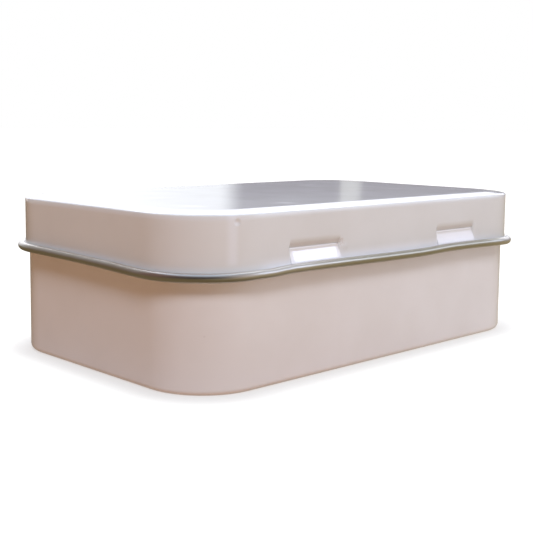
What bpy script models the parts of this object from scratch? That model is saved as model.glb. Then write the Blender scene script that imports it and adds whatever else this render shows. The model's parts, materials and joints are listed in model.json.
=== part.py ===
"""Hinged soap tin, drawn from painted tinplate: a tray-shaped body and a lid that turns on its own hem.

Metres, +Z up. The tin stands on Z = 0 with its middle over the origin and its long sides along X.
It opens at the front, -Y, and the hinge runs along the rear, +Y.
"""

import math

import bmesh
import bpy
from mathutils import Vector

MM = 0.001

# The body's outside
BODY_LENGTH = 96.0 * MM
BODY_WIDTH = 59.4 * MM
CORNER_RADIUS = 12.2 * MM
BASE_EDGE_RADIUS = 1.0 * MM
SHEET = 0.3 * MM

# Heights, and the lid's fit over the body
TIN_HEIGHT = 30.7 * MM
LID_DEPTH = 10.5 * MM  # from the lid's top to the middle of its hem
LID_CLEARANCE = 0.45 * MM
RIM_ABOVE_HEM = 4.6 * MM
RIM_CURL_DIAMETER = 1.3 * MM
RIM_CURL_TURN = 300.0

# The lid's shoulder and its faintly raised top panel
SHOULDER_RADIUS = 1.2 * MM
PANEL_LAND = 0.2 * MM
PANEL_STEP = 0.15 * MM
PANEL_STEP_WIDTH = 1.6 * MM

# The lid's hem, rolled outwards so that the sheet's bare inner side shows
HEM_WIDTH = 1.6 * MM
HEM_HEIGHT = 1.65 * MM
HEM_FLARE = 0.2 * MM
HEM_FLARE_HEIGHT = 1.4 * MM
HEM_END_ANGLE = 100.0  # where the rolled edge stops, counted up from the outward direction

# The two hinges: a window in the lid's rear skirt, and an ear of the body that reaches through it
HINGE_SPACING = 42.2 * MM
WINDOW_WIDTH = 12.7 * MM
WINDOW_SIDE_GAP = 0.3 * MM
HINGE_PLAY = 0.17 * MM
KNUCKLE_LIP = 0.2 * MM
FOLD_RADIUS = 0.23 * MM
FOLD_BELOW_RIM = 1.3 * MM
EAR_ROOT = 0.9 * MM
LIP_GAP = 0.3 * MM
LIP_HEIGHT = 1.35 * MM
LIP_DEPTH = 0.55 * MM

# How finely the round stretches are stepped
CORNER_STEPS = 12
BEND_STEPS = 6
CURL_STEP_DEGREES = 20.0
PINTLE_SIDES = 16

# Places that follow from the sizes above
HALF_LENGTH = BODY_LENGTH / 2
HALF_WIDTH = BODY_WIDTH / 2
HALF_SHEET = SHEET / 2
RIM_CURL_RADIUS = RIM_CURL_DIAMETER / 2 - HALF_SHEET
SKIRT_OFFSET = LID_CLEARANCE + HALF_SHEET
HEM_HALF_WIDTH = HEM_WIDTH / 2 - HALF_SHEET
HEM_HALF_HEIGHT = HEM_HEIGHT / 2 - HALF_SHEET
HEM_OFFSET = SKIRT_OFFSET + HEM_FLARE + HEM_HALF_WIDTH
HEM_Z = TIN_HEIGHT - LID_DEPTH
HINGE_AXIS = Vector((0, HALF_WIDTH + HEM_OFFSET, HEM_Z))
RIM_Z = HEM_Z + RIM_ABOVE_HEM
FOLD_Z = RIM_Z - FOLD_BELOW_RIM
FOLD_TOP = FOLD_Z + FOLD_RADIUS + HALF_SHEET
LIP_LOW = FOLD_TOP + LIP_GAP
LIP_ROOT = LIP_LOW + LIP_HEIGHT
NOTCH_WIDTH = WINDOW_WIDTH + 2 * WINDOW_SIDE_GAP
EAR_WIDTH = WINDOW_WIDTH - 2 * WINDOW_SIDE_GAP
PINTLE_RADIUS = HEM_HALF_WIDTH - HALF_SHEET - HINGE_PLAY
HINGE_PLACES = {"left": -HINGE_SPACING / 2, "right": HINGE_SPACING / 2}


def arc(centre, radii, start, end, steps):
    """Points along an elliptical arc in a section, angles in degrees, both ends included."""
    angles = [math.radians(start + (end - start) * i / steps) for i in range(steps + 1)]
    return [(centre[0] + radii[0] * math.cos(a), centre[1] + radii[1] * math.sin(a)) for a in angles]


def sheet_outline(middle):
    """The two faces of a sheet whose middle line is given: one face out, and the other face back."""
    points = [Vector(point) for point in middle]
    steps = [(after - before).normalized() for before, after in zip(points, points[1:])]
    one_face = []
    other_face = []
    for here, behind, ahead in zip(points, steps[:1] + steps, steps + steps[-1:]):
        along = (behind + ahead).normalized()
        across = Vector((-along.y, along.x)) * HALF_SHEET / along.dot(ahead)
        one_face.append(tuple(here + across))
        other_face.append(tuple(here - across))
    return one_face + other_face[::-1]


def rounded_rectangle(offset, z):
    """An outline round the body, this far outside its wall, at this height."""
    radius = CORNER_RADIUS + offset
    centre_x = HALF_LENGTH - CORNER_RADIUS
    centre_y = HALF_WIDTH - CORNER_RADIUS
    points = []
    for quarter, (side_x, side_y) in enumerate(((1, 1), (-1, 1), (-1, -1), (1, -1))):
        centre = (side_x * centre_x, side_y * centre_y)
        corner = arc(centre, (radius, radius), 90 * quarter, 90 * (quarter + 1), CORNER_STEPS)
        points += [Vector((x, y, z)) for x, y in corner]
    return points


def material(name, colour, roughness, metallic):
    made = bpy.data.materials.new(name)
    made.use_nodes = True
    shader = made.node_tree.nodes["Principled BSDF"]
    shader.inputs["Base Color"].default_value = (*colour, 1)
    shader.inputs["Roughness"].default_value = roughness
    shader.inputs["Metallic"].default_value = metallic
    return made


def add_object(name, bm, origin=(0, 0, 0)):
    """Moves a bmesh into a new object whose own origin is at this point."""
    bmesh.ops.recalc_face_normals(bm, faces=bm.faces)
    bmesh.ops.translate(bm, verts=bm.verts, vec=-Vector(origin))
    mesh = bpy.data.meshes.new(name)
    bm.to_mesh(mesh)
    bm.free()
    made = bpy.data.objects.new(name, mesh)
    made.location = origin
    bpy.context.scene.collection.objects.link(made)
    return made


def drawn_shell(name, section, origin=(0, 0, 0)):
    """Extrudes an outline round the body along a section of (offset, height) points, and closes both ends."""
    bm = bmesh.new()
    ring = [bm.verts.new(point) for point in rounded_rectangle(*section[0])]
    bm.faces.new(ring)
    edges = list(bm.edges)
    for offset, z in section[1:]:
        made = bmesh.ops.extrude_edge_only(bm, edges=edges)["geom"]
        new_verts = {item for item in made if isinstance(item, bmesh.types.BMVert)}
        edges = [item for item in made if isinstance(item, bmesh.types.BMEdge) and set(item.verts) <= new_verts]
        raised = []
        for vert in ring:
            raised += [edge.other_vert(vert) for edge in vert.link_edges if edge.other_vert(vert) in new_verts]
        ring = raised
        for vert, point in zip(ring, rounded_rectangle(offset, z)):
            vert.co = point
    bm.faces.new(ring)
    return add_object(name, bm, origin)


def swept_profile(name, profile, centre_x, width):
    """A closed outline in the YZ plane, extruded along X about this middle."""
    bm = bmesh.new()
    verts = [bm.verts.new((centre_x - width / 2, y, z)) for y, z in profile]
    face = bm.faces.new(verts)
    made = bmesh.ops.extrude_face_region(bm, geom=[face])["geom"]
    moved = [item for item in made if isinstance(item, bmesh.types.BMVert)]
    bmesh.ops.translate(bm, verts=moved, vec=(width, 0, 0))
    return add_object(name, bm)


def box_profile(low, high):
    return [(low[0], low[1]), (high[0], low[1]), (high[0], high[1]), (low[0], high[1])]


def combine(target, helper, operation):
    """Joins a helper to a piece, or cuts it away, and keeps the helper out of the finished part."""
    helper.hide_render = True
    helper.display_type = "WIRE"
    modifier = target.modifiers.new(helper.name, "BOOLEAN")
    modifier.operation = operation
    modifier.object = helper
    modifier.solver = "EXACT"


def body_section():
    """The body's sheet from the floor, round the bottom edge and up the wall, to the inward curl of the rim."""
    bend = BASE_EDGE_RADIUS - HALF_SHEET
    floor_edge = arc((-BASE_EDGE_RADIUS, BASE_EDGE_RADIUS), (bend, bend), 270, 360, BEND_STEPS)
    curl_centre = (-HALF_SHEET - RIM_CURL_RADIUS, RIM_Z - HALF_SHEET - RIM_CURL_RADIUS)
    curl_steps = round(RIM_CURL_TURN / CURL_STEP_DEGREES)
    curl = arc(curl_centre, (RIM_CURL_RADIUS, RIM_CURL_RADIUS), 0, RIM_CURL_TURN, curl_steps)
    return floor_edge + curl


def lid_section():
    """The lid's sheet from its raised panel, over the shoulder and down the skirt, to the end of the hem."""
    wall = SKIRT_OFFSET
    bend = SHOULDER_RADIUS - HALF_SHEET
    shoulder_top = TIN_HEIGHT - PANEL_STEP
    shoulder_in = wall - bend
    step_out = shoulder_in - PANEL_LAND
    step_in = step_out - PANEL_STEP_WIDTH
    panel = []
    for i in range(BEND_STEPS + 1):
        share = i / BEND_STEPS
        fall = (1 - math.cos(math.pi * share)) / 2
        panel.append((step_in + (step_out - step_in) * share, TIN_HEIGHT - HALF_SHEET - PANEL_STEP * fall))
    shoulder = arc((shoulder_in, shoulder_top - SHOULDER_RADIUS), (bend, bend), 90, 0, BEND_STEPS)
    flare = []
    for i in range(BEND_STEPS):
        share = i / BEND_STEPS
        height = HEM_HALF_HEIGHT / 2 + HEM_FLARE_HEIGHT * (1 - share)
        swing = (1 - math.cos(math.pi * share)) / 2
        flare.append((wall + HEM_FLARE * swing, HEM_Z + height))
    hem_steps = round((180 + HEM_END_ANGLE) / CURL_STEP_DEGREES)
    hem = arc((HEM_OFFSET, HEM_Z), (HEM_HALF_WIDTH, HEM_HALF_HEIGHT), -180, HEM_END_ANGLE, hem_steps)
    return panel + shoulder + flare + hem


def hem_end():
    """The point of the hem's rolled edge that comes nearest to the body."""
    angle = math.radians(HEM_END_ANGLE)
    normal = Vector((math.cos(angle) / HEM_HALF_WIDTH, math.sin(angle) / HEM_HALF_HEIGHT)).normalized()
    middle = Vector((HEM_HALF_WIDTH * math.cos(angle), HEM_HALF_HEIGHT * math.sin(angle)))
    return Vector((HINGE_AXIS.y, HINGE_AXIS.z)) + middle + normal * HALF_SHEET


def ear_middle():
    """The ear's middle line: up with the wall, folded over, down through the window, to the hem's middle."""
    wall_y = HALF_WIDTH - HALF_SHEET
    fold_centre = (wall_y + FOLD_RADIUS, FOLD_Z)
    throat = Vector((hem_end().x - HINGE_PLAY - HALF_SHEET, hem_end().y - HALF_SHEET))
    lean = math.degrees(math.atan2(throat.x - fold_centre[0] - FOLD_RADIUS, FOLD_Z - throat.y))
    fold = arc(fold_centre, (FOLD_RADIUS, FOLD_RADIUS), 180, lean, BEND_STEPS + 2)
    return [(wall_y, FOLD_Z - EAR_ROOT)] + fold + [tuple(throat), (HINGE_AXIS.y, HINGE_AXIS.z)]


def add_ears(body):
    """Notches the rim at each hinge, and folds the wall there out into an ear with a round end."""
    end = arc((HINGE_AXIS.y, HINGE_AXIS.z), (PINTLE_RADIUS, PINTLE_RADIUS), 0, 360, PINTLE_SIDES)[:-1]
    inside = HALF_WIDTH - RIM_CURL_DIAMETER - SHEET
    notch = box_profile((inside, FOLD_Z - EAR_ROOT / 2), (HALF_WIDTH + SHEET, RIM_Z + SHEET))
    for side, centre in HINGE_PLACES.items():
        combine(body, swept_profile(f"notch_{side}", notch, centre, NOTCH_WIDTH), "DIFFERENCE")
        ear = swept_profile(f"ear_{side}", sheet_outline(ear_middle()), centre, EAR_WIDTH)
        pintle = swept_profile(f"pintle_{side}", end, centre, EAR_WIDTH)
        combine(body, ear, "UNION")
        combine(body, pintle, "UNION")


def add_windows(lid):
    """Opens the skirt and the inner half of the hem at each hinge, and presses in a lip above the opening."""
    skirt_y = HALF_WIDTH + SKIRT_OFFSET
    low = (skirt_y - SHEET, HEM_Z - HEM_HEIGHT)
    window = box_profile(low, (HINGE_AXIS.y - KNUCKLE_LIP, LIP_ROOT))
    lip = [(skirt_y, LIP_ROOT + SHEET), (skirt_y, LIP_ROOT), (skirt_y - LIP_DEPTH, LIP_LOW)]
    for side, centre in HINGE_PLACES.items():
        combine(lid, swept_profile(f"window_{side}", window, centre, WINDOW_WIDTH), "DIFFERENCE")
        combine(lid, swept_profile(f"lip_{side}", sheet_outline(lip), centre, WINDOW_WIDTH), "UNION")


def finish(piece, surface, parent):
    """Gives a piece its material and smooth shading, and hangs it on the tin's empty."""
    piece.data.materials.append(surface)
    piece.data.shade_smooth()
    piece.data.set_sharp_from_angle(angle=math.radians(35))
    piece.parent = parent


def main():
    for item in list(bpy.data.objects):
        bpy.data.objects.remove(item, do_unlink=True)
    tin = bpy.data.objects.new("soap_tin", None)
    bpy.context.scene.collection.objects.link(tin)

    body = drawn_shell("tin_body", sheet_outline(body_section())[::-1])
    add_ears(body)
    lid = drawn_shell("hinged_lid", sheet_outline(lid_section()), HINGE_AXIS)
    add_windows(lid)

    enamel = material("warm_white_enamel", (0.72, 0.66, 0.63), 0.32, 0.0)
    finish(body, enamel, tin)
    finish(lid, enamel, tin)


main()
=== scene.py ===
"""Hinged soap tin: white enamel over bare tinplate, a rolled hem, and two ears hooked through the lid.

Metres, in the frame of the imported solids. The tin stands on Z = 0, opens at -Y and is hinged along +Y.
Both pieces are sheets: one surface drawn along a section, cut and folded at the hinges, then given its
thickness. The sheet's outside is enamelled and its inside is bare, so the outward hem shows bare metal.
"""

import json
import math

import bmesh
import bpy
from mathutils import Matrix, Vector


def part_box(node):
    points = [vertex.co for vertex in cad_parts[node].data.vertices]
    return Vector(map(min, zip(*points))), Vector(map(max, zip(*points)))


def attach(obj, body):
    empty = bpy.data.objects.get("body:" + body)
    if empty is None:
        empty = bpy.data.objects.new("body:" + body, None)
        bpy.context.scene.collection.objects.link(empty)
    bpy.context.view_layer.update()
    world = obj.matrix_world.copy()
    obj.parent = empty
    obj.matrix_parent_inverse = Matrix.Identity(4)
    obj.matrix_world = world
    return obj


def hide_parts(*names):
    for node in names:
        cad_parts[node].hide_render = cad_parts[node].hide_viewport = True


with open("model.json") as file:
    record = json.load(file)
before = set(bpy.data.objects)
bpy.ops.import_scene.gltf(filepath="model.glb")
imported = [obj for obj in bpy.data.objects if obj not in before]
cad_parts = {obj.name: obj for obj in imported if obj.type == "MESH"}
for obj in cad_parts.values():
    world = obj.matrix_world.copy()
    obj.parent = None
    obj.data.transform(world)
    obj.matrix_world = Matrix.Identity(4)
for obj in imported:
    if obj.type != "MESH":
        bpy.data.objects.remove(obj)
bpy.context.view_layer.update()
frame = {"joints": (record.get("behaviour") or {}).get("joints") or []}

MM = 0.001
BODY_LOW, BODY_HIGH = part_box("tin_body")
LID_LOW, LID_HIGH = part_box("hinged_lid")
AXIS = Vector(frame["joints"][0]["pos_m"])

# The sheet and the body's outside
SHEET = 0.3 * MM
HALF_SHEET = SHEET / 2
HALF_LENGTH = BODY_HIGH.x
HALF_WIDTH = -BODY_LOW.y
CORNER_RADIUS = 12.2 * MM
BASE_EDGE_RADIUS = 1.0 * MM
CORE = Vector((HALF_LENGTH - CORNER_RADIUS, HALF_WIDTH - CORNER_RADIUS, 0))

# The body's rim, curled inwards
RIM_Z = 24.8 * MM
RIM_CURL_RADIUS = 0.65 * MM - HALF_SHEET
RIM_CURL_TURN = 300

# The lid's section
TIN_HEIGHT = LID_HIGH.z
SKIRT_OFFSET = 0.6 * MM
SHOULDER_DEPTH = 3.0 * MM
SHOULDER_HEIGHT = 0.5 * MM
SHOULDER_TURN = 62
CROWN_WIDTH = 3.1 * MM
CROWN_HEIGHT = 0.25 * MM
HEM_OFFSET = AXIS.y - HALF_WIDTH
HEM_HALF_WIDTH = LID_HIGH.y - AXIS.y - HALF_SHEET
HEM_HALF_HEIGHT = AXIS.z - LID_LOW.z - HALF_SHEET
HEM_FLARE_HEIGHT = 1.5 * MM
HEM_FLARE = 0.27 * MM
HEM_END_ANGLE = 135

# The hinges
HINGE_PLACES = (-21.1 * MM, 21.1 * MM)
WINDOW_WIDTH = 12.7 * MM
NOTCH_WIDTH = 13.3 * MM
EAR_WIDTH = 12.69 * MM
FOLD_RADIUS = 0.17 * MM
FOLD_Z = 23.5 * MM
NOTCH_Z = FOLD_Z - 0.45 * MM
LIP_ROOT = 25.53 * MM
LIP_HEIGHT = 1.66 * MM
LIP_DEPTH = 0.55 * MM
LIP_LOW = LIP_ROOT - LIP_HEIGHT
LIP_BEND = 0.45  # the share of its height in which the lip turns inwards
PRESS_END = 21.7 * MM  # where the skirt beside a window is no longer pressed in
PRESS_STATIONS = (0.5, 0.35, 0.2, 0.1, 0, -0.1, -0.2, -0.3)  # mm outside the window's side
KNUCKLE_LIP = 0.2 * MM
HOOK_RADIUS = 0.18 * MM
HOOK_END_ANGLE = 150
EAR_SLOPE_FROM = 0.06  # the shares of the ear's drop between which it slopes out to the hem
EAR_SLOPE_TO = 0.94
THROAT = Vector((-0.47, 0.68)) * MM  # where the ear passes the hem's rolled edge, from the hinge's axis

# The sheet's materials: outside, inside and cut edge, and the same three where it is enamelled on both sides
INSIDE = 1
CUT_EDGE = 2
COATED = 3
COATED_BESIDE = 0.4 * MM  # how far beside a window the lid is enamelled on both sides

# The hem's waves along the rear: each is (crest, length of its rise from +X, length of its fall to -X)
HEM_WAVES = ((27 * MM, 7 * MM, 34 * MM), (-19 * MM, 11 * MM, 26 * MM))
HEM_WAVE_HEIGHT = 0.25 * MM
HEM_WAVE_LOW = -0.1 * MM
HEM_WAVE_TOP = 25 * MM
HEM_WAVE_FADE = 3 * MM  # the last stretch before each corner, in which the waves die out

# The hem's bends towards its corners: each is (lift, the places along X and along Y between which it grows)
HEM_BENDS = (
    (0.6 * MM, 20 * MM, 44 * MM, 26 * MM, -20 * MM),
    (-0.2 * MM, 30 * MM, 44 * MM, 4 * MM, 20 * MM),
    (-0.38 * MM, -33 * MM, -46 * MM, 0, 20 * MM),
)

# How finely the sheets are stepped
CORNER_STEPS = 24
ARC_STEP = 9
STATION_STEP = 1.6 * MM
ROW_STEP = 0.9 * MM
CROWN_ROWS = 8
LIP_ROWS = 9
WINDOW_ROWS = 6
FLARE_ROWS = 8
EAR_ROWS = 16
SAME_HEIGHT = 0.01 * MM
SHARP_ANGLE = 40

# The enamels' mottle, dark and light, their shine, and the height of their orange peel and slow waves. The
# lid's mottle is the body's made darker: painted shade on the lid
BODY_ENAMEL = ((0.785, 0.768, 0.745, 1), (0.815, 0.802, 0.785, 1))
# The lid's enamel: the body's white made darker, painted shade
LID_ENAMEL_SHADED = ((0.724, 0.728, 0.706, 1), (0.752, 0.760, 0.744, 1))
ENAMEL_ROUGHNESS = 0.085
ORANGE_PEEL = 0.0012 * MM
SLOW_WAVES = 0.035 * MM

# Knocks in the lid's rear: each is (place, radius, how far it stands out)
CORNER_DENT = (39.3 * MM, 29.8 * MM, 29.05 * MM)
HINGE_DENT = (14.5 * MM, 30.4 * MM, 23.9 * MM)
HINGE_BUMP = (13.2 * MM, 30.5 * MM, 23.0 * MM)
KNOCKS = (
    (CORNER_DENT, 0.8 * MM, -0.22 * MM),
    (HINGE_DENT, 1.0 * MM, -0.13 * MM),
    (HINGE_BUMP, 1.0 * MM, 0.09 * MM),
)

# The enamel's marks: the colour of each kind, and how strongly it covers. Dust and the scuff are wear; the
# lip shade is painted shade, the hem band and the corner band are painted light, and the ear's bright patch
# is wear and a painted highlight
DUST = ((0.42, 0.38, 0.34, 1), 0.15)
# Painted shade: the pressed lips over the ears made darker
LIP_PAINTED_SHADE = ((0.62, 0.57, 0.53, 1), 0.5)
# Wear and a painted highlight: the ear's rubbed patch, painted near white
WORN_AND_HIGHLIGHT = ((0.96, 0.96, 0.97, 1), 1)
# Painted light: the band over the rear hem, lighter and bluer
HEM_PAINTED_LIGHT = ((0.93, 0.95, 1.0, 1), 0.55)
SCUFF = ((0.50, 0.36, 0.29, 1), 0.3)
# Painted highlight: the light band up the rear corner
CORNER_PAINTED_HIGHLIGHT = ((0.86, 0.89, 0.93, 1), 0.4)

# The tinplate, clean and tarnished, its rear hem painted browner as a painted reflection of the wood, and the
# cut edges' steel, clean and brown
TIN_CLEAN = (0.70, 0.69, 0.665, 1)
TIN_TARNISH = (0.62, 0.59, 0.52, 1)
# Painted reflection of the wood: the rear hem's darker, browner tone and its strength
TIN_WOOD_REFLECTION = (0.46, 0.44, 0.36, 1)
WOOD_REFLECTION_STRENGTH = 0.8
TIN_ROUGHNESS = 0.28
LINE_HEIGHT = 0.002 * MM
SCRATCH_DEPTH = 0.001 * MM
STEEL_CLEAN = (0.50, 0.47, 0.42, 1)
STEEL_BROWN = (0.34, 0.27, 0.20, 1)
STEEL_ROUGHNESS = 0.38


def arc(centre, radii, start, end):
    """Points along an elliptical arc in a section, angles in degrees, both ends included."""
    steps = max(2, round(abs(end - start) / ARC_STEP))
    angles = [math.radians(start + (end - start) * i / steps) for i in range(steps + 1)]
    return [(centre[0] + radii[0] * math.cos(a), centre[1] + radii[1] * math.sin(a)) for a in angles]


def straight(start, end, stops):
    """Points up or down a straight stretch of a section, evenly spaced, and one at each stop's height."""
    steps = max(1, round(abs(end[1] - start[1]) / ROW_STEP))
    heights = [start[1] + (end[1] - start[1]) * i / steps for i in range(1, steps)]
    heights = [z for z in heights if all(abs(z - stop) > ROW_STEP / 2 for stop in stops)] + list(stops)
    heights.sort(reverse=end[1] < start[1])
    return [(start[0], z) for z in heights]


def body_section():
    """The body's sheet from its floor, round the bottom edge and up the wall, to the rim's inward curl."""
    bend = BASE_EDGE_RADIUS - HALF_SHEET
    curl_centre = (-HALF_SHEET - RIM_CURL_RADIUS, RIM_Z - HALF_SHEET - RIM_CURL_RADIUS)
    edge = arc((-BASE_EDGE_RADIUS, BASE_EDGE_RADIUS), (bend, bend), 270, 360)
    curl = arc(curl_centre, (RIM_CURL_RADIUS, RIM_CURL_RADIUS), 0, RIM_CURL_TURN)
    return edge + straight(edge[-1], curl[0], [NOTCH_Z]) + curl


def lid_section():
    """The lid's sheet from its flat top, over its crowned margin and down its skirt, to the hem's end."""
    bend = (SHOULDER_DEPTH - HALF_SHEET, SHOULDER_HEIGHT - HALF_SHEET)
    crown_low = TIN_HEIGHT - HALF_SHEET - CROWN_HEIGHT
    shoulder_z = crown_low - bend[1] * math.sin(math.radians(SHOULDER_TURN))
    shoulder = arc((SKIRT_OFFSET - bend[0], shoulder_z), bend, SHOULDER_TURN, 0)
    crown = []
    for i in range(CROWN_ROWS):
        share = i / CROWN_ROWS
        offset = shoulder[0][0] - CROWN_WIDTH * (1 - share)
        crown.append((offset, crown_low + CROWN_HEIGHT * math.cos(math.pi / 2 * share)))
    flare = []
    for i in range(FLARE_ROWS + 1):
        share = i / FLARE_ROWS
        out = SKIRT_OFFSET + HEM_FLARE * share * share
        flare.append((out, AXIS.z + HEM_HALF_HEIGHT / 2 + HEM_FLARE_HEIGHT * (1 - share)))
    hem = arc((HEM_OFFSET, AXIS.z), (HEM_HALF_WIDTH, HEM_HALF_HEIGHT), -180, HEM_END_ANGLE)
    rows = [LIP_ROOT - LIP_HEIGHT * i / LIP_ROWS for i in range(LIP_ROWS + 1)]
    rows += [LIP_LOW + (flare[0][1] - LIP_LOW) * i / WINDOW_ROWS for i in range(1, WINDOW_ROWS)]
    return crown + shoulder + straight(shoulder[-1], flare[0], rows) + flare + hem


def stations(half, wanted):
    """Places along a straight side: those wanted, and evenly spaced ones between them."""
    fixed = sorted({-half, half, *wanted})
    places = []
    for low, high in zip(fixed, fixed[1:]):
        steps = max(1, round((high - low) / STATION_STEP))
        places += [low + (high - low) * i / steps for i in range(steps)]
    return places[1:]


def outward(place):
    """The level direction out of the wall at a point, and the nearest point of the tin's core."""
    core = Vector((max(-CORE.x, min(CORE.x, place.x)), max(-CORE.y, min(CORE.y, place.y)), 0))
    return (Vector((place.x, place.y, 0)) - core).normalized(), core


def drawn_sheet(section, cuts):
    """A rounded panel whose edge is drawn along a section of (offset, height). cuts are places along X."""
    bm = bmesh.new()
    bmesh.ops.create_grid(bm, x_segments=1, y_segments=1, size=1)
    bmesh.ops.scale(bm, vec=(HALF_LENGTH, HALF_WIDTH, 1), verts=bm.verts)
    bmesh.ops.bevel(
        bm,
        geom=list(bm.verts),
        offset=CORNER_RADIUS,
        offset_type="OFFSET",
        affect="VERTICES",
        segments=CORNER_STEPS,
        profile=0.5,
        material=-1,
    )
    for normal, places in (((1, 0, 0), stations(CORE.x, cuts)), ((0, 1, 0), stations(CORE.y, ()))):
        for place in places:
            edges = [e for e in bm.edges if e.is_boundary]
            bmesh.ops.bisect_plane(bm, geom=edges, plane_co=Vector(normal) * place, plane_no=normal)
    offset, z = section[0]
    for vert in bm.verts:
        direction, core = outward(vert.co)
        vert.co = core + direction * (CORNER_RADIUS + offset) + Vector((0, 0, z))
    edges = [e for e in bm.edges if e.is_boundary]
    for offset, z in section[1:]:
        made = bmesh.ops.extrude_edge_only(bm, edges=edges)["geom"]
        edges = [item for item in made if isinstance(item, bmesh.types.BMEdge)]
        edges = [edge for edge in edges if edge.is_boundary]
        for vert in {vert for edge in edges for vert in edge.verts}:
            direction, core = outward(vert.co)
            vert.co = core + direction * (CORNER_RADIUS + offset) + Vector((0, 0, z))
    return bm


def ease(value, low, high):
    """0 below low, 1 above high, and smooth between. It falls instead where low is above high."""
    share = min(1, max(0, (value - low) / (high - low)))
    return share * share * (3 - 2 * share)


def hem_lift(place):
    """How far the lid's hem is bent up or down at a point of the skirt."""
    wave = 0
    for crest, rise, fall in HEM_WAVES:
        wave = max(wave, ease(place.x, crest + rise, crest) * ease(place.x, crest - fall, crest))
    rear = ease(place.y, CORE.y, HALF_WIDTH) * ease(CORE.x - abs(place.x), 0, HEM_WAVE_FADE)
    lift = (HEM_WAVE_LOW + HEM_WAVE_HEIGHT * wave) * rear
    for height, x_from, x_to, y_from, y_to in HEM_BENDS:
        lift += height * ease(place.x, x_from, x_to) * ease(place.y, y_from, y_to)
    return lift * ease(place.z, HEM_WAVE_TOP, AXIS.z)


def in_columns(place, width):
    """Whether a point of the rear wall lies in either hinge's columns."""
    return place.y > 0 and any(abs(place.x - centre) < width / 2 for centre in HINGE_PLACES)


def draw_on(bm, edges, path):
    """Carries edges along a path of (y, z) steps, a row of the sheet for each, and gives the new faces."""
    faces = []
    for step_y, step_z in path:
        made = bmesh.ops.extrude_edge_only(bm, edges=edges)["geom"]
        verts = {item for item in made if isinstance(item, bmesh.types.BMVert)}
        edges = [item for item in made if isinstance(item, bmesh.types.BMEdge) and set(item.verts) <= verts]
        faces += [item for item in made if isinstance(item, bmesh.types.BMFace)]
        bmesh.ops.translate(bm, verts=list(verts), vec=(0, step_y, step_z))
    return faces


def steps_of(points):
    """The moves from each point of a path to the next."""
    return [(b[0] - a[0], b[1] - a[1]) for a, b in zip(points, points[1:])]


def row_edges(bm, z, width):
    """The open edges of the rear wall that run along X at this height, within the hinges' columns."""
    found = []
    for edge in bm.edges:
        middle = (edge.verts[0].co + edge.verts[1].co) / 2
        level = all(abs(vert.co.z - z) < SAME_HEIGHT for vert in edge.verts)
        if level and edge.is_boundary and in_columns(middle, width):
            found.append(edge)
    return found


def ear_path():
    """The ear's sheet: up, folded over outwards, down the gap, out across it, and hooked round the axis."""
    wall_y = HALF_WIDTH - HALF_SHEET
    fold = arc((wall_y + FOLD_RADIUS, FOLD_Z), (FOLD_RADIUS, FOLD_RADIUS), 180, 0)
    throat = (AXIS.y + THROAT.x, AXIS.z + THROAT.y)
    top = fold[-1]
    run = []
    for i in range(1, EAR_ROWS + 1):
        share = i / EAR_ROWS
        level = min(1, max(0, (share - EAR_SLOPE_FROM) / (EAR_SLOPE_TO - EAR_SLOPE_FROM)))
        swing = (level + ease(level, 0, 1)) / 2
        run.append((top[0] + (throat[0] - top[0]) * swing, top[1] + (throat[1] - top[1]) * share))
    hook = arc((AXIS.y, AXIS.z), (HOOK_RADIUS, HOOK_RADIUS), HOOK_END_ANGLE, -HOOK_END_ANGLE)
    return [(wall_y, NOTCH_Z)] + fold + run + hook


def lip_press(place):
    """How far the rear skirt is pressed in towards the body at a point above or beside a window."""
    share = min(1, (LIP_ROOT - place.z) / LIP_HEIGHT)
    if place.y < HALF_WIDTH or share < 0 or place.z < PRESS_END:
        return 0
    inwards = share * share / (2 * LIP_BEND) if share < LIP_BEND else share - LIP_BEND / 2
    side = min(abs(place.x - centre) for centre in HINGE_PLACES) - WINDOW_WIDTH / 2
    taper = ease(side, PRESS_STATIONS[0] * MM, PRESS_STATIONS[-1] * MM)
    return LIP_DEPTH * inwards / (1 - LIP_BEND / 2) * taper * ease(place.z, PRESS_END, LIP_LOW)


def shell(name, bm, replaced, body, materials):
    """Gives a drawn sheet its thickness and materials, and puts it in the place of its CAD node."""
    bmesh.ops.recalc_face_normals(bm, faces=bm.faces)
    flat = max(bm.faces, key=lambda face: face.calc_area())
    if (flat.normal.z > 0) != (flat.calc_center_median().z > AXIS.z):
        bmesh.ops.reverse_faces(bm, faces=bm.faces)
    mesh = bpy.data.meshes.new(name)
    bm.to_mesh(mesh)
    bm.free()
    for item in materials:
        mesh.materials.append(item)
    piece = bpy.data.objects.new(name, mesh)
    bpy.context.scene.collection.objects.link(piece)
    wall = piece.modifiers.new("sheet", "SOLIDIFY")
    wall.thickness = SHEET
    wall.offset = 0
    wall.use_even_offset = True
    wall.use_rim = True
    wall.material_offset = INSIDE
    wall.material_offset_rim = CUT_EDGE
    graph = bpy.context.evaluated_depsgraph_get()
    solid = bpy.data.meshes.new_from_object(piece.evaluated_get(graph))
    piece.modifiers.clear()
    piece.data = solid
    solid.name = name
    solid.shade_smooth()
    solid.set_sharp_from_angle(angle=math.radians(SHARP_ANGLE))
    bpy.data.meshes.remove(mesh)
    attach(piece, body)
    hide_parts(replaced)


def make_body(materials):
    """The body: its sheet is notched at the rear, and an ear is folded out of each notch."""
    cuts = []
    for centre in HINGE_PLACES:
        for width in (NOTCH_WIDTH, EAR_WIDTH):
            cuts += [centre - width / 2, centre + width / 2]
    bm = drawn_sheet(body_section(), cuts)
    gone = []
    for face in bm.faces:
        middle = face.calc_center_median()
        if middle.z > NOTCH_Z and in_columns(middle, NOTCH_WIDTH):
            gone.append(face)
    bmesh.ops.delete(bm, geom=gone, context="FACES")
    for face in draw_on(bm, row_edges(bm, NOTCH_Z, EAR_WIDTH), steps_of(ear_path())):
        face.material_index = COATED
    shell("tin_body_sheet", bm, "tin_body", "body", materials)


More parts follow.
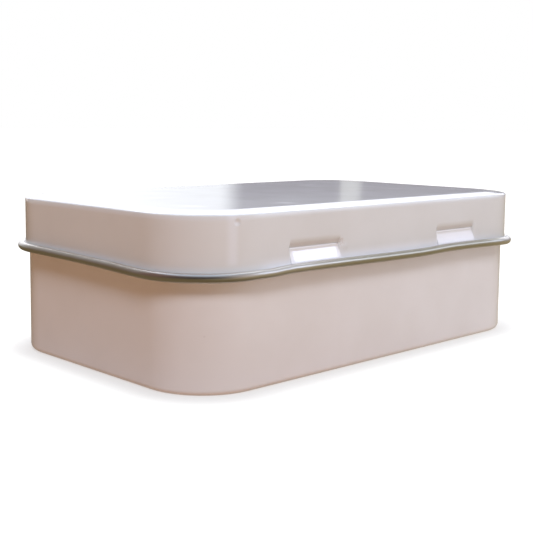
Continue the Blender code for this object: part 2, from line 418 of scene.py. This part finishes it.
def make_lid(materials):
    """The lid: its skirt has two windows with a pressed lip above each, and its hem is bent."""
    cuts = []
    for centre in HINGE_PLACES:
        for out in PRESS_STATIONS:
            half = WINDOW_WIDTH / 2 + out * MM
            cuts += [centre - half, centre + half]
    bm = drawn_sheet(lid_section(), cuts)
    gone = []
    for face in bm.faces:
        middle = face.calc_center_median()
        if middle.z < LIP_LOW and middle.y < AXIS.y - KNUCKLE_LIP and in_columns(middle, WINDOW_WIDTH):
            gone.append(face)
    bmesh.ops.delete(bm, geom=gone, context="FACES")
    for face in bm.faces:
        middle = face.calc_center_median()
        beside = AXIS.z < middle.z < LIP_ROOT and middle.y < AXIS.y
        if beside and in_columns(middle, WINDOW_WIDTH + 2 * COATED_BESIDE):
            face.material_index = COATED
    for vert in bm.verts:
        vert.co.y -= lip_press(vert.co)
        vert.co.z += hem_lift(vert.co)
    shell("lid_sheet", bm, "hinged_lid", "lid", materials)


class Socket:
    """A node's output. Arithmetic on it adds Math nodes to its tree, and node() adds any other node."""

    def __init__(self, tree, link=None):
        self.tree = tree
        self.link = link

    def node(self, kind, settings=None, sockets=None, output=0):
        """Adds a node, with its settings and its sockets' values or links, and gives one of its outputs."""
        made = self.tree.nodes.new(kind)
        for name, value in (settings or {}).items():
            setattr(made, name, value)
        for name, value in (sockets or {}).items():
            if isinstance(value, Socket):
                self.tree.links.new(value.link, made.inputs[name])
            else:
                made.inputs[name].default_value = value
        return Socket(self.tree, made.outputs[output])

    def maths(self, operation, *values):
        return self.node("ShaderNodeMath", {"operation": operation}, dict(enumerate(values)))

    def xyz(self):
        """The three numbers of a vector."""
        made = self.node("ShaderNodeSeparateXYZ", None, {"Vector": self})
        return [Socket(self.tree, out) for out in made.link.node.outputs]

    def stretched(self, x, y, z):
        """This place with its axes scaled, so that a pattern on it is drawn out."""
        return self.node("ShaderNodeVectorMath", {"operation": "MULTIPLY"}, {0: self, 1: (x, y, z)})

    def distance(self, point):
        return self.node("ShaderNodeVectorMath", {"operation": "DISTANCE"}, {0: self, 1: point}, "Value")

    def noise(self, scale, detail):
        return self.node("ShaderNodeTexNoise", None, {"Vector": self, "Scale": scale, "Detail": detail})

    def __add__(self, other):
        return self.maths("ADD", self, other)

    def __radd__(self, other):
        return self.maths("ADD", other, self)

    def __sub__(self, other):
        return self.maths("SUBTRACT", self, other)

    def __rsub__(self, other):
        return self.maths("SUBTRACT", other, self)

    def __mul__(self, other):
        return self.maths("MULTIPLY", self, other)

    def __rmul__(self, other):
        return self.maths("MULTIPLY", other, self)

    def rises(self, low, high):
        """0 below low, 1 above high, and smooth between. It falls instead where low is above high."""
        settings = {"interpolation_type": "SMOOTHSTEP", "clamp": True}
        ends = {"From Min": min(low, high), "From Max": max(low, high)}
        rising = self.node("ShaderNodeMapRange", settings, {"Value": self, **ends})
        return rising if low < high else 1 - rising

    def between(self, before, low, high, past):
        """1 from low to high, 0 before and past these, and smooth where it changes."""
        return self.rises(before, low) * self.rises(past, high)

    def blend(self, low, high):
        """The colour low where this is 0, and high where it is 1. A Mix node has its colours at 6 and 7."""
        return self.node("ShaderNodeMix", {"data_type": "RGBA"}, {"Factor": self, 6: low, 7: high}, 2)


def new_material(name, **fixed):
    """A material with these fixed values on its shader, and the shader and the place on the piece."""
    made = bpy.data.materials.new(name)
    made.use_nodes = True
    shader = made.node_tree.nodes["Principled BSDF"]
    for socket, value in fixed.items():
        shader.inputs[socket.replace("_", " ")].default_value = value
    place = Socket(made.node_tree).node("ShaderNodeTexCoord", output="Object")
    return made, shader, place


def wire(shader, **values):
    """Links values that vary over the surface to the shader. A height in metres goes in through Bump."""
    for socket, value in values.items():
        if socket == "Height":
            socket, value = "Normal", value.node("ShaderNodeBump", None, {"Height": value, "Distance": 1.0})
        value.tree.links.new(value.link, shader.inputs[socket.replace("_", " ")])


def dust_specks(place):
    """Specks of dust, in a few of the cells of a fine pattern."""
    pattern = {"Vector": place, "Scale": 320}
    speck = place.node("ShaderNodeTexVoronoi", None, pattern).rises(0.07, 0.04)
    chosen = place.node("ShaderNodeTexVoronoi", None, pattern, "Color").xyz()[0].rises(0.8, 0.82)
    return speck * chosen


def painted_lip_shade(across, y, z):
    """Painted shade on the pressed lips over the ears, which darkens them where they face down. across is the
    distance along X from a hinge's middle.
    """
    lip = across.rises(6.7 * MM, 6.3 * MM) * z.between(23.85 * MM, 24.0 * MM, 25.3 * MM, 25.6 * MM)
    return lip * y.between(29 * MM, 29.1 * MM, 30.1 * MM, 30.35 * MM)


def ear_wear_and_highlight(place, across, x, y, z):
    """The patch where the ear at +X is rubbed to bright metal and painted near white, partly a painted
    highlight, with a ragged edge.
    """
    ear = across.rises(6.1 * MM, 5.0 * MM) * z.between(20.9 * MM, 21.7 * MM, 23.0 * MM, 23.3 * MM)
    ear = ear * x.rises(0, 1 * MM) * y.rises(29.9 * MM, 30.0 * MM)
    ragged = (place.noise(900, 3) - 0.5) * 0.4
    return (ear + ragged).rises(0.35, 0.75)


def painted_hem_light(x, y, z):
    """The stretch of the skirt just over the rear hem, painted lighter and bluer: painted light."""
    rear = z.rises(23.0 * MM, 21.2 * MM) * y.rises(29.9 * MM, 30.0 * MM)
    return rear * x.between(-40 * MM, -20 * MM, 31 * MM, 37 * MM)


def dent_scuff(place):
    """The grainy scuff on the dent beside a hinge."""
    return place.distance(HINGE_DENT).rises(1.3 * MM, 0.5 * MM) * place.noise(2600, 2).rises(0.5, 0.58)


def painted_corner_highlight(x, y, z):
    """A painted highlight: a light band up the skirt at the rear corner at +X."""
    highlight_band = (x + y).between(68.9 * MM, 69.7 * MM, 69.9 * MM, 70.7 * MM)
    return highlight_band * z.rises(21.3 * MM, 22.5 * MM) * y.rises(28 * MM, 29 * MM)


def enamel(name, dark, light):
    """Warm white baked enamel: mottled, with orange peel, rub marks, the marks listed above and the knocks.
    Of those marks the lip shade, the hem band and the corner band are painted shade and light, and the ear's
    patch is partly a painted highlight.
    """
    made, shader, place = new_material(name)
    x, y, z = place.xyz()
    across = x.maths("ABSOLUTE", x.maths("ABSOLUTE", x) - HINGE_PLACES[1])
    worn_and_highlight = ear_wear_and_highlight(place, across, x, y, z)
    colour = place.noise(70, 3).rises(0.3, 0.7).blend(dark, light)
    for mask, (tint, strength) in (
        (dust_specks(place), DUST),
        (painted_lip_shade(across, y, z), LIP_PAINTED_SHADE),
        (worn_and_highlight, WORN_AND_HIGHLIGHT),
        (painted_hem_light(x, y, z), HEM_PAINTED_LIGHT),
        (dent_scuff(place), SCUFF),
        (painted_corner_highlight(x, y, z), CORNER_PAINTED_HIGHLIGHT),
    ):
        colour = (mask * strength).blend(colour, tint)
    rubbed = place.stretched(1, 1, 26).noise(34, 3).rises(0.62, 0.70)
    roughness = ENAMEL_ROUGHNESS + place.noise(150, 3) * 0.05 + rubbed * 0.07 + worn_and_highlight * 0.15
    height = place.noise(1500, 1) * ORANGE_PEEL + place.noise(38, 1) * SLOW_WAVES
    for centre, radius, out in KNOCKS:
        height = height + place.distance(centre).rises(radius, 0) * out
    wire(shader, Base_Color=colour, Roughness=roughness, Metallic=worn_and_highlight * 0.25, Height=height)
    return made


def tinplate():
    """Bare tinplate: rolling lines along X, cloudy tarnish, scratches, and the rear hem painted darker and
    browner, a painted reflection of the wood below.
    """
    made, shader, place = new_material("bare_tinplate", Metallic=1)
    lines = place.stretched(1, 45, 45).noise(60, 3)
    tarnish = place.noise(85, 4).rises(0.4, 0.85)
    scratch = place.stretched(2, 30, 30).noise(60, 2).rises(0.70, 0.74)
    x, y, z = place.xyz()
    # The rear hem painted darker and browner: a painted reflection of the wood
    painted_wood_reflection = y.rises(29.6 * MM, 30.6 * MM) * z.rises(22.4 * MM, 21.4 * MM)
    painted_wood_reflection = painted_wood_reflection * x.between(-42 * MM, -28 * MM, 8 * MM, 28 * MM)
    colour = (painted_wood_reflection * WOOD_REFLECTION_STRENGTH).blend(tarnish.blend(TIN_CLEAN, TIN_TARNISH), TIN_WOOD_REFLECTION)
    roughness = TIN_ROUGHNESS + lines * 0.12 + tarnish * 0.08 + scratch * 0.06
    wire(shader, Base_Color=colour, Roughness=roughness, Height=lines * LINE_HEIGHT - scratch * SCRATCH_DEPTH)
    return made


def cut_steel():
    """The sheet's cut edges: bare steel, dulled brown."""
    made, shader, place = new_material("cut_steel", Metallic=1)
    brown = place.noise(700, 3).rises(0.35, 0.65)
    wire(shader, Base_Color=brown.blend(STEEL_CLEAN, STEEL_BROWN), Roughness=STEEL_ROUGHNESS + brown * 0.25)
    return made


# The camera, fitted to the photograph
VIEW_AZIMUTH = math.radians(136.0)
VIEW_ELEVATION = math.radians(5.96)
VIEW_ROLL = math.radians(0.583)
VIEW_DISTANCE = 207.96 * MM
VIEW_SHIFT_RIGHT = -2.53 * MM
VIEW_SHIFT_UP = 23.41 * MM
FOCAL_PIXELS = 959.7
PHOTO_PIXELS = 533
AXIS_ROW = 225  # the photograph's row that the lens points at
SENSOR = 36
NEAR_CLIP = 10 * MM
FAR_CLIP = 100

# The room round the tin, pale to the right of the view and dark to its left, and what stands out in it
WHITE = (1, 1, 1, 1)
ROOM_LEFT = (0.21, 0.115, 0.08, 1)
ROOM_RIGHT = (0.34, 0.315, 0.305, 1)
ROOM_GLOOM = (0.17, 0.10, 0.085, 1)
ROOM_BEHIND = (0.05, 0.045, 0.045, 1)
GREY_CORNER = (0.42, 0.42, 0.40, 1)
GREY_PANEL = (0.58, 0.57, 0.55, 1)
PINK_FILL = (0.62, 0.54, 0.52, 1)
OLIVE_FILL = (0.40, 0.34, 0.21, 1)
CEILING = (0.66, 0.78, 0.99, 1)
WINDOW = (2.05, 2.25, 2.8, 1)
BACKDROP = (1.5, 1.5, 1.6, 1)

# The horizon under the backdrop, which the lid's top reflects: dark, with a grey strip, and paper at the left
HORIZON_DARK = (0.13, 0.10, 0.11, 1)
HORIZON_STRIP = (0.47, 0.455, 0.43, 1)
PAPER_NEAR = (0.93, 0.94, 0.96, 1)
PAPER_FAR = (1.15, 1.15, 1.17, 1)

# The softbox beyond the tin, and its bright rim, whose reflections edge the lid's shoulder, in degrees
SOFTBOX_RISE = math.radians(53)
SOFTBOX_RADIUS = 29.5
SOFTBOX_RIM = 4.5
SOFTBOX_FADE = 0.6
SOFTBOX_RIM_FADE = 0.03  # in the cosine of the angle from its middle
SOFTBOX_BRIGHT = (3.3, 3.45, 3.8, 1)
SOFTBOX_PLAIN = (1.0, 1.06, 1.3, 1)

# The key light, behind and above the camera
KEY_DIRECTION = Vector((0.50, 0.64, 1.0))
KEY_DISTANCE = 1.0
KEY_SIZE = 0.28
KEY_POWER = 5.35
KEY_COLOUR = (0.83, 0.86, 0.99)

# The floor: how far the tin's soft shadow reaches on it, and the glow that it throws up round the tin
FLOOR_HALF_SIDE = 6
SHADOW_REACH = 9 * MM
GLOW_REACH = 14 * MM

# The pale floor that the camera sees: its ground, and how much of it is white light at the tin and off it.
# The white light is weaker near the tin, which paints part of its soft shadow
PALE_GROUND = (0.68, 0.66, 0.61, 1)
PALE_LIGHT = 1.25
PALE_SHARE_NEAR = 0.39
PALE_SHARE_OFF = 0.95

# The wood that the tin is lit by, to the left and right, the glow on it, and how the tin mirrors it
WOOD_LEFT = (0.66, 0.39, 0.21, 1)
WOOD_RIGHT = (0.85, 0.71, 0.59, 1)
WOOD_GLOW = (1.0, 0.83, 0.80, 1)
WOOD_GLOW_SHARE = 0.4
MIRRORED_LEFT = (0.17, 0.125, 0.065, 1)
MIRRORED_RIGHT = (0.42, 0.34, 0.21, 1)


def make_camera():
    """The photograph's camera, off the rear corner at +X and a little above the lid."""
    back = Vector(
        (
            math.sin(VIEW_AZIMUTH) * math.cos(VIEW_ELEVATION),
            -math.cos(VIEW_AZIMUTH) * math.cos(VIEW_ELEVATION),
            math.sin(VIEW_ELEVATION),
        )
    )
    level_right = Vector((math.cos(VIEW_AZIMUTH), math.sin(VIEW_AZIMUTH), 0))
    level_up = back.cross(level_right)
    right = level_right * math.cos(VIEW_ROLL) + level_up * math.sin(VIEW_ROLL)
    up = level_up * math.cos(VIEW_ROLL) - level_right * math.sin(VIEW_ROLL)
    data = bpy.data.cameras.new("photo_view")
    data.sensor_width = SENSOR
    data.lens = SENSOR * FOCAL_PIXELS / PHOTO_PIXELS
    data.shift_y = AXIS_ROW / PHOTO_PIXELS - 0.5
    data.clip_start = NEAR_CLIP
    data.clip_end = FAR_CLIP
    camera = bpy.data.objects.new("photo_view", data)
    turn = Matrix((right, up, back)).transposed().to_4x4()
    place = right * VIEW_SHIFT_RIGHT + up * VIEW_SHIFT_UP + back * VIEW_DISTANCE
    camera.matrix_world = Matrix.Translation(place) @ turn
    bpy.context.scene.collection.objects.link(camera)
    bpy.context.scene.camera = camera


def right_of_view(x, y):
    """How far a place or a direction lies to the right, as the photograph's camera looks."""
    return x * math.cos(VIEW_AZIMUTH) + y * math.sin(VIEW_AZIMUTH)


def make_world():
    """The room and a softbox beyond the tin, for what the tin reflects. The camera itself sees white."""
    world = bpy.data.worlds.new("studio")
    bpy.context.scene.world = world
    world.use_nodes = True
    tree = world.node_tree
    tree.nodes.clear()
    nodes = Socket(tree)
    x, y, z = nodes.node("ShaderNodeTexCoord", output="Generated").xyz()
    across = right_of_view(x, y)
    ahead = y * math.cos(VIEW_AZIMUTH) - x * math.sin(VIEW_AZIMUTH)
    turn = across.maths("ARCTAN2", across, ahead) * math.degrees(1)
    rise = z.maths("ARCSINE", z) * math.degrees(1)

    # Turns to the right of the view and rises over the horizon are in degrees
    backdrop = turn.between(-47, -41, 46, 54)
    paper = turn.rises(-2.5, -11).blend(PAPER_NEAR, PAPER_FAR)
    horizon = turn.rises(-1.25, -2.95).blend(HORIZON_DARK, paper)
    horizon = turn.between(4.2, 4.6, 5.3, 5.9).blend(horizon, HORIZON_STRIP)
    room = across.rises(-0.6, 0.6).blend(ROOM_LEFT, ROOM_RIGHT)
    for mask, colour in (
        (across.rises(-0.3, -0.7) * rise.rises(40, 10), ROOM_GLOOM),
        (ahead.rises(-0.5, -0.8), ROOM_BEHIND),
        (turn.between(-77, -71, -50, -46) * rise.rises(50, 40), GREY_CORNER),
        (turn.between(50, 56, 75, 80) * rise.rises(24, 30), GREY_PANEL),
        (turn.between(84, 90, 126, 142) * rise.rises(52, 36), PINK_FILL),
        (turn.between(76, 80, 96, 100) * rise.rises(36, 30), OLIVE_FILL),
        (rise.rises(50, 67), CEILING),
        (turn.between(68, 72, 93, 96) * rise.between(8, 11, 28, 32), WINDOW),
        (backdrop * rise.rises(34, 28), BACKDROP),
        (backdrop * rise.rises(8.5, 7.5), horizon),
    ):
        room = mask.blend(room, colour)

    facing = ahead * math.cos(SOFTBOX_RISE) + z * math.sin(SOFTBOX_RISE)
    outer = math.cos(math.radians(SOFTBOX_RADIUS + SOFTBOX_FADE))
    inner = math.cos(math.radians(SOFTBOX_RADIUS - SOFTBOX_FADE))
    middle = math.cos(math.radians(SOFTBOX_RADIUS - SOFTBOX_RIM))
    softbox = facing.rises(middle, middle + SOFTBOX_RIM_FADE).blend(SOFTBOX_BRIGHT, SOFTBOX_PLAIN)
    sky = facing.rises(outer, inner).blend(room, softbox)

    seen = nodes.node("ShaderNodeLightPath", output="Is Camera Ray")
    light = nodes.node("ShaderNodeBackground", None, {"Color": seen.blend(sky, WHITE)})
    out = tree.nodes.new("ShaderNodeOutputWorld")
    tree.links.new(light.link, out.inputs["Surface"])


def make_key_light():
    """A soft light behind and above the camera, which throws the hem's shadow on the body."""
    data = bpy.data.lights.new("key", "AREA")
    data.shape = "DISK"
    data.size = KEY_SIZE
    data.energy = KEY_POWER
    data.color = KEY_COLOUR
    light = bpy.data.objects.new("key", data)
    light.location = KEY_DIRECTION.normalized() * KEY_DISTANCE
    light.rotation_euler = KEY_DIRECTION.to_track_quat("Z", "Y").to_euler()
    light.visible_camera = False
    light.visible_glossy = False
    bpy.context.scene.collection.objects.link(light)


def floor_material():
    """Pale to the camera, with a soft shadow round the tin, partly painted by weaker white light near it. To
    the tin itself it is as warm as wood.
    """
    made = bpy.data.materials.new("pale_floor")
    made.use_nodes = True
    tree = made.node_tree
    tree.nodes.clear()
    nodes = Socket(tree)

    def diffuse(colour):
        return nodes.node("ShaderNodeBsdfDiffuse", None, {"Color": colour})

    def emission(colour, strength=1):
        return nodes.node("ShaderNodeEmission", None, {"Color": colour, "Strength": strength})

    def mix(share, low, high):
        return nodes.node("ShaderNodeMixShader", None, {0: share, 1: low, 2: high})

    x, y, _ = nodes.node("ShaderNodeTexCoord", output="Object").xyz()
    past_x = x.maths("MAXIMUM", x.maths("ABSOLUTE", x) - CORE.x, 0)
    past_y = y.maths("MAXIMUM", y.maths("ABSOLUTE", y) - CORE.y, 0)
    distance = x.maths("SQRT", past_x * past_x + past_y * past_y)
    clear = distance.rises(CORNER_RADIUS, CORNER_RADIUS + SHADOW_REACH)
    away = distance.rises(CORNER_RADIUS, CORNER_RADIUS + GLOW_REACH)
    across = right_of_view(x, y)
    # Less white light near the tin: a partly painted shadow round it
    pale_share = PALE_SHARE_NEAR + clear * (PALE_SHARE_OFF - PALE_SHARE_NEAR)
    pale = mix(pale_share, diffuse(PALE_GROUND), emission(WHITE, PALE_LIGHT))
    wood = diffuse(across.rises(-10 * MM, 60 * MM).blend(WOOD_LEFT, WOOD_RIGHT))
    wood = mix(WOOD_GLOW_SHARE - away * WOOD_GLOW_SHARE, wood, emission(WOOD_GLOW))
    mirrored = emission(across.rises(0, 60 * MM).blend(MIRRORED_LEFT, MIRRORED_RIGHT))
    hidden = mix(nodes.node("ShaderNodeLightPath", output="Is Glossy Ray"), wood, mirrored)
    both = mix(nodes.node("ShaderNodeLightPath", output="Is Camera Ray"), hidden, pale)
    out = tree.nodes.new("ShaderNodeOutputMaterial")
    tree.links.new(both.link, out.inputs["Surface"])
    return made


def make_floor():
    bm = bmesh.new()
    bmesh.ops.create_grid(bm, x_segments=1, y_segments=1, size=FLOOR_HALF_SIDE)
    mesh = bpy.data.meshes.new("floor")
    bm.to_mesh(mesh)
    bm.free()
    mesh.materials.append(floor_material())
    floor = bpy.data.objects.new("floor", mesh)
    bpy.context.scene.collection.objects.link(floor)


bpy.context.scene.view_settings.view_transform = "Standard"
bare, cut = tinplate(), cut_steel()
body_white = enamel("body_white_enamel", *BODY_ENAMEL)
# The lid's white is darker than the body's: painted shade
lid_shaded_white = enamel("lid_shaded_white_enamel", *LID_ENAMEL_SHADED)
make_body((body_white, bare, cut, body_white, body_white, body_white))
make_lid((lid_shaded_white, bare, cut, lid_shaded_white, lid_shaded_white, lid_shaded_white))
make_camera()
make_world()
make_key_light()
make_floor()
